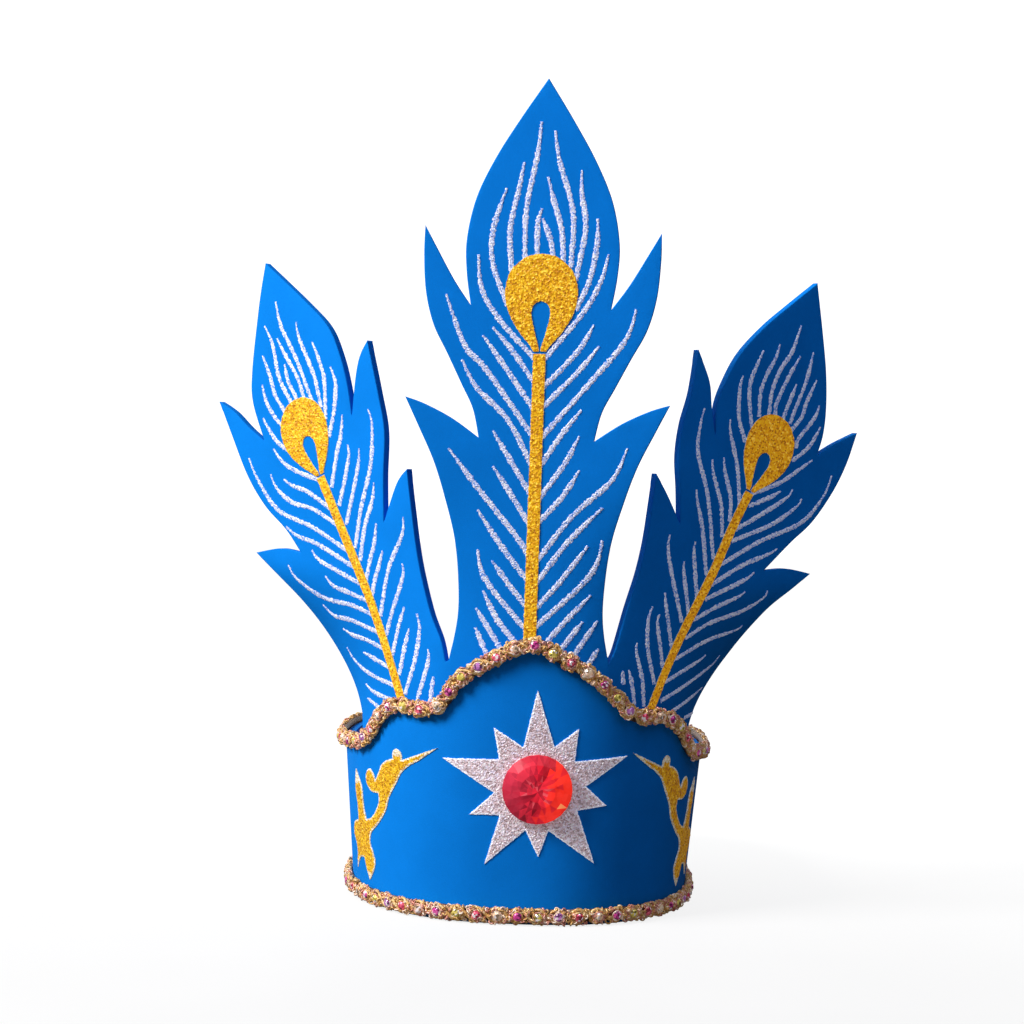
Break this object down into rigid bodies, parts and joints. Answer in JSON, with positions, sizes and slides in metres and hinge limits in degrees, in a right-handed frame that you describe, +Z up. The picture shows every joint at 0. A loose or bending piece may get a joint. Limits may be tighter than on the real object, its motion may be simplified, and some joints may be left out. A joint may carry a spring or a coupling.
{
  "type": "feathered performance headdress",
  "caption": "Open foam crown band that stands on its rim, with flat foam feathers rising from the front, jewelled braid edges, a star with a cut stone and bird ornaments.",
  "frame": {"origin": "centre of the bounding box at the height of the band's lower rim", "axes": "+Z up along the feathers, -Y out of the front, +X to the wearer's left"},
  "size_m": [0.2902, 0.2328, 0.3585],
  "materials": {
    "blue_foam": "matt closed-cell craft foam",
    "gold_glitter": "fine gold glitter",
    "silver_glitter": "fine silver glitter",
    "gold_braid": "looped metallic braid set with small cut stones",
    "cut_stone": "polished faceted acrylic"
  },
  "bodies": {
    "root": {"crown_band": "blue_foam", "feather_panel": "blue_foam", "quill_centre": "gold_glitter", "quill_left": "gold_glitter", "quill_right": "gold_glitter", "star": "silver_glitter", "star_stone": "cut_stone", "bird_left": "gold_glitter", "bird_right": "gold_glitter", "top_braid": "gold_braid", "bottom_braid": "gold_braid"}
  },
  "joints": []
}
